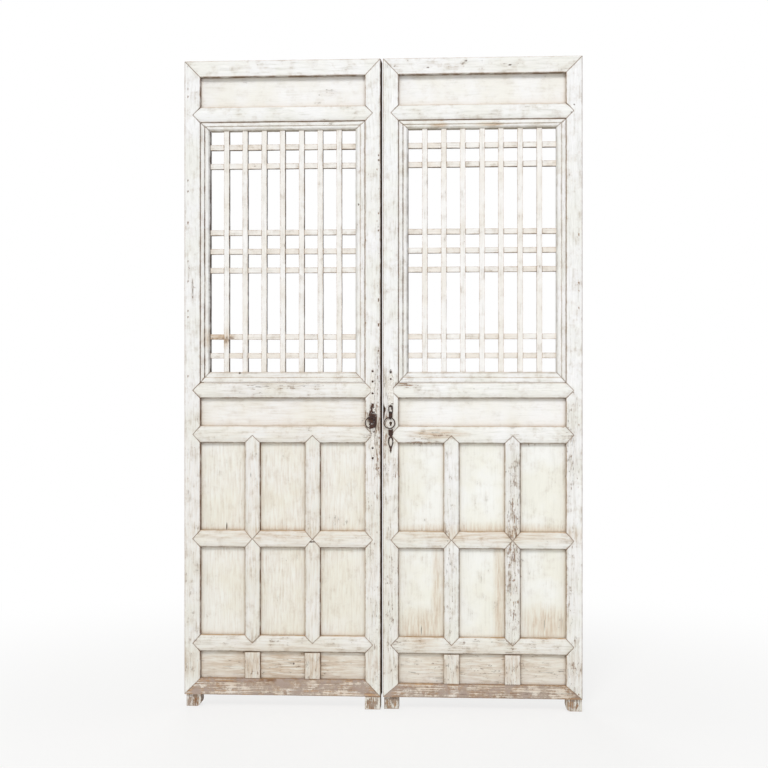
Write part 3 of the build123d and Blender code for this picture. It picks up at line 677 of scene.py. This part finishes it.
def marked(piece, board, kinds):
    """Writes marks, and one number for the whole board, into the mesh of a piece."""
    mesh = piece.data
    places = np.empty(len(mesh.vertices) * 3, np.float32)
    mesh.vertices.foreach_get("co", places)
    places = places.reshape(-1, 3)
    front = places[:, 1] < MARK_FRONT
    for kind, marks in kinds.items():
        strength = np.zeros(len(places), np.float32)
        for x, z, half_w, half_h, most in marks.values():
            away = np.hypot((places[:, 0] / MM - x) / half_w, (places[:, 2] / MM - z) / half_h)
            strength = np.maximum(strength, front * most * np.clip(1.4 - 0.9 * away, 0, 1))
        strength = strength.astype(np.float32)
        mesh.attributes.new(kind, "FLOAT", "POINT").data.foreach_set("value", strength)
    numbers = np.full(len(places) * 3, board, np.float32)
    mesh.attributes.new("board", "FLOAT_VECTOR", "POINT").data.foreach_set("vector", numbers)


# %% Every wooden member of both leaves
triangles = 0
for side in ("left", "right"):
    for n, (member, look) in enumerate(FINISH_OF.items()):
        name = f"{side}_{member}"
        seed = n + (0 if side == "left" else 40)
        piece = worn_member(name, seed)
        marked(piece, 0.137 * seed, MARKS)
        piece.data.materials.append(finish[look])
        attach(piece, f"{side}_leaf")
        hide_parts(name)
        triangles += sum(len(p.vertices) - 2 for p in piece.data.polygons)
print("wooden members:", triangles, "triangles")

# %% [markdown]
# ## The lattice
#
# Each light holds seven uprights and seven crossbars, half lapped into each other.
# They repeat, so Geometry Nodes set them: one bar with its laps is the object's own mesh,
# and the tree puts a copy at each place. The crossbars stand in groups of two, three and two,
# so every one after a group moves on by the length of the long gap. The uprights are evenly
# spaced, and for them that length is nothing. Hand-planed bars are never quite alike, so
# each copy is turned by a fraction of a degree, with a fixed seed.

# %% Opening, closing and running a tree
def open_tree(name, sockets, result):
    """A Geometry Nodes tree, what its named inputs give, and their identifiers."""
    tree = bpy.data.node_groups.new(name, "GeometryNodeTree")
    ids = {}
    for label, kind, value in sockets:
        socket = tree.interface.new_socket(label, in_out="INPUT", socket_type="NodeSocket" + kind)
        if value is not None:
            socket.default_value = value
        ids[label] = socket.identifier
    tree.interface.new_socket(result, in_out="OUTPUT", socket_type="NodeSocketGeometry")
    return tree, add(tree, "NodeGroupInput").outputs, ids


def close_tree(tree, copies, material):
    """Makes the copies real, gives them their material and hands them out."""
    real = add(tree, "GeometryNodeRealizeInstances", {0: copies})
    done = add(tree, "GeometryNodeSetMaterial", {"Geometry": real, "Material": material})
    add(tree, "NodeGroupOutput", {0: done})


def run_nodes(piece, tree, ids, values):
    """Runs a tree on a piece and keeps the result as its plain mesh."""
    modifier = piece.modifiers.new("set_out", "NODES")
    modifier.node_group = tree
    for name, value in values.items():
        modifier[ids[name]] = value
    bpy.context.view_layer.update()
    seen = piece.evaluated_get(bpy.context.evaluated_depsgraph_get())
    mesh = bpy.data.meshes.new_from_object(seen)
    mesh.name = piece.name
    piece.modifiers.clear()
    piece.data = mesh


# %% The tree that sets out the bars
def lattice_tree():
    """Copies of a bar along a step, with a longer gap after each group."""
    tree, given, ids = open_tree("lattice_bars", (
        ("Bar", "Geometry", None), ("Count", "Int", 7), ("Step", "Vector", None),
        ("Long Gap", "Vector", None), ("Lean", "Float", 0.0015), ("Seed", "Int", 4),
        ("Paint", "Material", None)), "Bars")
    line = add(tree, "GeometryNodeMeshLine", {"Count": given["Count"], "Offset": given["Step"]})
    number = add(tree, "GeometryNodeInputIndex")
    group = add(tree, "Math", {0: number, 1: 1.0}, operation="ADD")
    group = add(tree, "Math", {0: group, 1: 3.0}, operation="DIVIDE")
    group = add(tree, "Math", {0: group}, operation="FLOOR")
    push = add(tree, "VectorMath", {0: given["Long Gap"], "Scale": group}, operation="SCALE")
    places = add(tree, "GeometryNodeSetPosition", {"Geometry": line, "Offset": push})
    least = add(tree, "Math", {0: given["Lean"], 1: -1.0}, operation="MULTIPLY")
    lean = add(tree, "FunctionNodeRandomValue", {2: least, 3: given["Lean"], "Seed": given["Seed"]},
               data_type="FLOAT")
    turn = add(tree, "CombineXYZ", {"Y": lean})
    copies = add(tree, "GeometryNodeInstanceOnPoints", {"Points": places, "Instance": given["Bar"],
                                                        "Rotation": turn})
    close_tree(tree, copies, given["Paint"])
    return tree, ids


bars_tree, bars_ids = lattice_tree()
print("inputs of the lattice tree:", list(bars_ids))

# %% One bar with its half laps
BARS = 7
BAR_W = 17 * MM
BAR_FRONT = -18 * MM
BAR_BACK = 2 * MM
CROSSBAR_FRONT = -15.5 * MM
LAP = -8 * MM
LAP_FIT = 0.3 * MM
WAVY = 9 * MM
SWAY = 0.5 * MM
SWAY_LENGTH = 38 * MM
LEAN = 0.0012


def bar_mesh(name, along, length, front, notches, notch_from, notch_to):
    """A bar from 0 to length along one axis, centred across it, with notches between two depths."""
    bm = bmesh.new()
    ends = sorted([0.0, length] + [n + s * (BAR_W / 2 + LAP_FIT) for n in notches for s in (-1, 1)])
    for start, end in zip(ends, ends[1:]):
        cut = any(abs((start + end) / 2 - n) < BAR_W / 4 for n in notches)
        y0 = max(front, notch_to) if cut and notch_from <= front else front
        y1 = min(BAR_BACK, notch_from) if cut and notch_to >= BAR_BACK else BAR_BACK
        for v in bmesh.ops.create_cube(bm, size=1.0)["verts"]:
            lengthwise = start if v.co.z < 0 else end
            depth = y0 if v.co.y < 0 else y1
            across = v.co.x * BAR_W
            v.co = (across, depth, lengthwise) if along == 2 else (lengthwise, depth, across)
    return mesh_of(bm, name)


def sway_bars(piece, along, shift):
    """Welds the segments of the bars, then bends the bars slightly sideways by noise."""
    bm = bmesh.new()
    bm.from_mesh(piece.data)
    bmesh.ops.remove_doubles(bm, verts=bm.verts[:], dist=MERGE)
    inside = [f for f in bm.faces if all(len(e.link_faces) > 2 for e in f.edges)]
    bmesh.ops.delete(bm, geom=inside, context="FACES_ONLY")
    bmesh.ops.recalc_face_normals(bm, faces=bm.faces[:])
    cut_every(bm, along, WAVY)
    sideways = RIGHT if along == 2 else UP
    for v in bm.verts:
        v.co += sideways * noise.noise(v.co / SWAY_LENGTH + RIGHT * shift) * SWAY
    bm.to_mesh(piece.data)
    bm.free()


# %% The bars of both lights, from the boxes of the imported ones
for n, side in enumerate(("left", "right")):
    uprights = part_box(f"{side}_lattice_uprights")
    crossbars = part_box(f"{side}_lattice_crossbars")
    first = uprights[0].x + BAR_W / 2
    low = crossbars[0].z + BAR_W / 2
    step = (uprights[1].x - BAR_W / 2 - first) / (BARS - 1)
    long_gap = (crossbars[1].z - BAR_W / 2 - low - (BARS - 1) * step) / 2
    print(side, "pitch", round(step / MM, 2), "mm, long gap", round(long_gap / MM, 1), "mm")
    heights = [low + k * step + long_gap * math.floor((k + 1) / 3) for k in range(BARS)]
    across = [first + k * step for k in range(BARS)]
    jobs = (
        ("lattice_uprights", "upright_bar", 2, (first, 0, uprights[0].z), (step, 0, 0), (0, 0, 0),
         uprights[1].z - uprights[0].z, BAR_FRONT, [z - uprights[0].z for z in heights], LAP, BAR_BACK),
        ("lattice_crossbars", "level_bar", 0, (crossbars[0].x, 0, low), (0, 0, step), (0, 0, long_gap),
         crossbars[1].x - crossbars[0].x, CROSSBAR_FRONT, [x - crossbars[0].x for x in across],
         CROSSBAR_FRONT, LAP),
    )
    for m, (member, look, along, start, gap, push, *shape) in enumerate(jobs):
        name = f"{side}_{member}"
        piece = new_object("worn_" + name, bar_mesh(name, along, *shape))
        run_nodes(piece, bars_tree, bars_ids, {
            "Count": BARS, "Step": gap, "Long Gap": push, "Lean": LEAN, "Seed": 4 + 2 * n + m,
            "Paint": finish[look]})
        piece.data.transform(Matrix.Translation(start))
        sway_bars(piece, along, 17.0 * n)
        marked(piece, 0.31 + 0.173 * m + 0.29 * n, MARKS)
        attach(piece, f"{side}_leaf")
        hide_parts(name)

# %% [markdown]
# ## The ironwork
#
# Plates, nails, eyes and rings are forged iron, blackened by hands and rust, and brushed over
# with the same white paint as the wood. The plates kept most of it and lost it along their edges
# and round the rings, and the rings themselves kept none. One tree serves both states:
# paint_share says how much of the iron is still covered.

# %% Iron
HAMMERED = 0.6 * MM


def forged_iron(name, paint_share):
    """Dark forged iron with hammer marks and rust, under paint that has partly gone and that has dirt and
    painted shade in its hollows.
    """
    material, tree = new_material(name)
    here = add(tree, "TexCoord").outputs["Object"]
    wear = add(tree, "Attribute", attribute_name="wear").outputs["Fac"]
    dents = add(tree, "TexNoise", {"Vector": here, "Scale": per_mm(2.6), "Detail": 3.0})
    rust = add(tree, "TexNoise", {"Vector": here, "Scale": per_mm(5), "Detail": 5.0,
                                            "Roughness": 0.7})
    rusty = add(tree, "MapRange", {0: rust, 1: 0.46, 2: 0.62})
    iron = add(tree, "Mix", {0: rusty, 6: linear("#332b2a"), 7: linear("#5c4236")},
               data_type="RGBA")
    edge = arris(tree, 1.8 * MM, 0.99, 0.80)
    # Paint in the hollows round plates and rings is darkened from ambient occlusion: dirt there and
    # painted shade.
    nook = add(tree, "AmbientOcclusion", {"Distance": 6 * MM}, samples=8).outputs["AO"]
    dirt_and_shade = add(tree, "MapRange", {0: nook, 1: 0.95, 2: 0.5, 3: 0.0, 4: 0.6})
    gone = add(tree, "Math", {0: edge, 1: 0.22, 2: rust}, operation="MULTIPLY_ADD")
    gone = add(tree, "Math", {0: wear, 1: 0.32, 2: gone}, operation="MULTIPLY_ADD")
    gone = add(tree, "MapRange", {0: gone, 1: 0.28 + 0.42 * paint_share,
                                            2: 0.34 + 0.42 * paint_share})
    # The paint is lighter on the raised places of the hammer marks and darker in their hollows: painted
    # shade on the dents.
    shade = add(tree, "MapRange", {0: dents, 1: 0.35, 2: 0.65})
    paint = add(tree, "Mix", {0: shade, 6: linear("#dcd6cc"), 7: linear("#f3f1ec")},
                data_type="RGBA")
    paint = add(tree, "Mix", {0: dirt_and_shade, 6: paint, 7: linear("#6f6156")}, data_type="RGBA")
    colour = add(tree, "Mix", {0: gone, 6: paint, 7: iron}, data_type="RGBA")
    raised = add(tree, "Math", {0: gone, 1: -0.5, 2: dents}, operation="MULTIPLY_ADD")
    relief = add(tree, "Bump", {"Height": raised, "Strength": 0.7, "Distance": HAMMERED})
    rough = add(tree, "MapRange", {0: rusty, 3: 0.45, 4: 0.80})
    metal = add(tree, "Math", {0: gone, 1: 0.7}, operation="MULTIPLY")
    surface = add(tree, "BsdfPrincipled", {
        "Base Color": colour, "Roughness": rough, "Normal": relief, "Metallic": metal})
    add(tree, "OutputMaterial", {"Surface": surface})
    return material


painted_iron = forged_iron("painted_forged_plate", 0.95)
nail_iron = forged_iron("rusty_nail_heads", 0.25)
bare_iron = forged_iron("blackened_iron", 0.0)
print("iron finishes:", painted_iron.name, nail_iron.name, bare_iron.name)

# %% [markdown]
# ### Back plates and the square loop
#
# A plate is cut from thin sheet and its edge is filed, so the worn copy takes smaller cuts and a
# finer easing than wood does. The iron marks say where rings have knocked the paint off.

# %% Plates and loop
IRON_MARKS = {
    "wear": {
        "bare oval behind the left ring": (-29, 924, 16, 40, 1.0),
        "rust above it": (-30, 968, 8, 12, 0.9),
        "dark edge of the left plate": (-21, 1030, 3, 70, 0.5),
        "bare rim above the right ring": (29, 946, 12, 14, 1.2),
        "bail's rubbed place": (29, 962, 9, 16, 0.8),
        "bare iron under the loop": (29, 884, 10, 14, 1.2),
        "lens": (29, 850, 11, 26, 1.3),
        "spear tip": (29, 1084, 4, 10, 0.9),
    },
}


def hand_over(piece, name, body, material):
    """Gives a finished iron piece its material, smooth shading and body, and hides the imported part."""
    piece.data.materials.clear()
    piece.data.materials.append(material)
    piece.data.shade_smooth()
    piece.data.set_sharp_from_angle(angle=math.radians(50))
    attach(piece, body)
    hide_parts(name)


for side in ("left", "right"):
    for seed, part in enumerate(("pull_plate", "pull_loop")):
        name = f"{side}_{part}"
        if name in nodes:
            piece = worn_member(name, 70 + seed, cell=2.4 * MM, ease=0.5 * MM, depth=0.4)
            marked(piece, 0.5, IRON_MARKS)
            hand_over(piece, name, f"{side}_leaf", painted_iron if part == "pull_plate" else bare_iron)
            print(name, len(piece.data.polygons), "faces")

# %% [markdown]
# ### Rings, eyes and the bail
#
# All of them are round wire bent to a closed line: a circle for rings and eyes, a circle drawn out
# for the bail. The smith's hammer left the wire a little uneven, always on the thin side here
# so that a ring still swings clear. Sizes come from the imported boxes.

# %% Closed wires
THINNED = 0.10


def closed_wire(name, middle, up, along, half_w, half_h, wire_r, runs=72, flats=14):
    """Round wire along a circle, or along two half circles joined by straights when it is taller."""
    bm = bmesh.new()
    straight = half_h - half_w
    normal = up.cross(along)
    rows = []
    for n in range(runs):
        turn = 2 * math.pi * (n + 0.5) / runs
        out = along * math.cos(turn) + up * math.sin(turn)
        shift = straight if math.sin(turn) > 0 else -straight
        centre = middle + out * half_w + up * shift
        row = []
        for k in range(flats):
            angle = 2 * math.pi * k / flats
            dent = 0.5 + 0.5 * noise.noise(centre * 420 + Vector((0, k * 0.35, 0)))
            reach = wire_r * (1 - THINNED * dent)
            row.append(bm.verts.new(centre + (out * math.cos(angle) + normal * math.sin(angle)) * reach))
        rows.append(row)
    for n in range(runs):
        for k in range(flats):
            near, far = rows[n], rows[(n + 1) % runs]
            bm.faces.new((near[k], near[(k + 1) % flats], far[(k + 1) % flats], far[k]))
    bmesh.ops.recalc_face_normals(bm, faces=bm.faces[:])
    return new_object(name, mesh_of(bm, name))


def add_shank(piece, start, end, half_start, half_end):
    """Adds a square shank that runs back into the wood and tapers to its end."""
    bm = bmesh.new()
    bm.from_mesh(piece.data)
    rows = []
    for place, half in ((start, half_start), (end, half_end)):
        corners = ((-1, -1), (1, -1), (1, 1), (-1, 1))
        rows.append([bm.verts.new(place + Vector((half * a, 0, half * b))) for a, b in corners])
    near, far = rows
    faces = [bm.faces.new(near), bm.faces.new(far[::-1])]
    for k in range(4):
        faces.append(bm.faces.new((near[k], far[k], far[(k + 1) % 4], near[(k + 1) % 4])))
    bmesh.ops.recalc_face_normals(bm, faces=faces)
    bm.to_mesh(piece.data)
    bm.free()


EYE_WIRE = 1.5 * MM
SHANK_TAPER = 0.96
for side in ("left", "right"):
    low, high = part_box(f"{side}_pull_ring")
    wire = (high.y - low.y) / 2
    radius = (high.x - low.x) / 2 - wire
    ring = closed_wire(f"forged_{side}_ring", (low + high) / 2, UP, RIGHT, radius, radius, wire)
    hand_over(ring, f"{side}_pull_ring", f"{side}_ring", bare_iron)
    print(side, "ring", round(2 * (radius + wire) / MM, 1), "mm across, of wire", round(2 * wire / MM, 1))
    low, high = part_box(f"{side}_pull_eye")
    radius = (high.z - low.z) / 2 - EYE_WIRE
    middle = Vector(((low.x + high.x) / 2, low.y + EYE_WIRE + radius, (low.z + high.z) / 2))
    eyelet = closed_wire(f"forged_{side}_eye", middle, UP, BACKWARDS, radius, radius, EYE_WIRE, runs=32)
    half = (high.x - low.x) / 2
    tip = Vector((middle.x, high.y, middle.z))
    add_shank(eyelet, middle + BACKWARDS * radius, tip, half, half * SHANK_TAPER)
    hand_over(eyelet, f"{side}_pull_eye", f"{side}_leaf", bare_iron)
low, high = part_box("right_pull_bail")
wire = (high.y - low.y) / 2
bail = closed_wire("forged_bail", (low + high) / 2, UP, RIGHT, (high.x - low.x) / 2 - wire,
                   (high.z - low.z) / 2 - wire, wire, runs=48)
hand_over(bail, "right_pull_bail", "right_leaf", bare_iron)

# %% [markdown]
# ### Nails
#
# Every nail is the same thing at another place, so Geometry Nodes make them: a flattened dome for
# the hammered head and a four-sided cone for the shank, set on one point a nail. Each head is turned
# and sized a little differently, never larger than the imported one.

# %% The tree that drives the nails
def nail_tree():
    """A hammered nail at each point of a mesh."""
    tree, given, ids = open_tree("hammered_nails", (
        ("Points", "Geometry", None), ("Head Radius", "Float", 0.0034), ("Head Height", "Float", 0.0018),
        ("Length", "Float", 0.02), ("Smallest", "Float", 0.86), ("Twist", "Float", 0.7),
        ("Seed", "Int", 3), ("Iron", "Material", None)), "Nails")
    flatness = add(tree, "Math", {0: given["Head Height"], 1: given["Head Radius"]},
                   operation="DIVIDE")
    squash = add(tree, "CombineXYZ", {"X": 1.0, "Y": flatness, "Z": 1.0})
    dome = add(tree, "GeometryNodeMeshUVSphere", {"Segments": 12, "Rings": 8,
                                                  "Radius": given["Head Radius"]})
    head = add(tree, "GeometryNodeTransform", {"Geometry": dome, "Scale": squash})
    cone = add(tree, "GeometryNodeMeshCone", {"Vertices": 4, "Radius Top": 0.0002,
                                              "Radius Bottom": 0.0016, "Depth": given["Length"]})
    shank = add(tree, "GeometryNodeTransform", {"Geometry": cone, "Rotation": (-math.pi / 2, 0.0, 0.0)})
    nail = add(tree, "GeometryNodeJoinGeometry", {0: head})
    tree.links.new(shank.outputs[0], nail.inputs[0])
    size = add(tree, "FunctionNodeRandomValue", {2: given["Smallest"], 3: 1.0, "Seed": given["Seed"]},
               data_type="FLOAT")
    least = add(tree, "Math", {0: given["Twist"], 1: -1.0}, operation="MULTIPLY")
    turn = add(tree, "FunctionNodeRandomValue", {2: least, 3: given["Twist"], "Seed": given["Seed"]},
               data_type="FLOAT")
    spin = add(tree, "CombineXYZ", {"Y": turn})
    wide = add(tree, "CombineXYZ", {"X": size, "Y": 1.0, "Z": size})
    copies = add(tree, "GeometryNodeInstanceOnPoints", {"Points": given["Points"], "Instance": nail,
                                                        "Rotation": spin, "Scale": wide})
    close_tree(tree, copies, given["Iron"])
    return tree, ids


def nail_places(name):
    """The middle of the back of each nail's head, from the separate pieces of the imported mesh."""
    bm = bmesh.new()
    bm.from_mesh(nodes[name].data)
    bmesh.ops.remove_doubles(bm, verts=bm.verts[:], dist=MERGE)
    left = set(bm.verts)
    places = []
    for start in bm.verts:
        if start not in left:
            continue
        left.discard(start)
        queue = [start]
        piece = [start]
        while queue:
            for edge in queue.pop().link_edges:
                for v in edge.verts:
                    if v in left:
                        left.discard(v)
                        queue.append(v)
                        piece.append(v)
        front = min(v.co.y for v in piece)
        xs = [v.co.x for v in piece]
        zs = [v.co.z for v in piece]
        places.append(((min(xs) + max(xs)) / 2, front, (min(zs) + max(zs)) / 2))
    bm.free()
    return places


nails_tree, nails_ids = nail_tree()
HEAD_HEIGHT = 1.8 * MM
for n, side in enumerate(("left", "right")):
    name = f"{side}_pull_nails"
    low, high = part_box(name)
    points = bpy.data.meshes.new("points")
    places = nail_places(name)
    points.from_pydata([(x, y + HEAD_HEIGHT, z) for x, y, z in places], [], [])
    piece = new_object("hammered_" + name, points)
    run_nodes(piece, nails_tree, nails_ids, {
        "Head Height": HEAD_HEIGHT, "Length": 2 * (high.y - low.y - HEAD_HEIGHT), "Seed": 3 + n,
        "Iron": nail_iron})
    hand_over(piece, name, f"{side}_leaf", nail_iron)
    print(name, len(places), "nails")
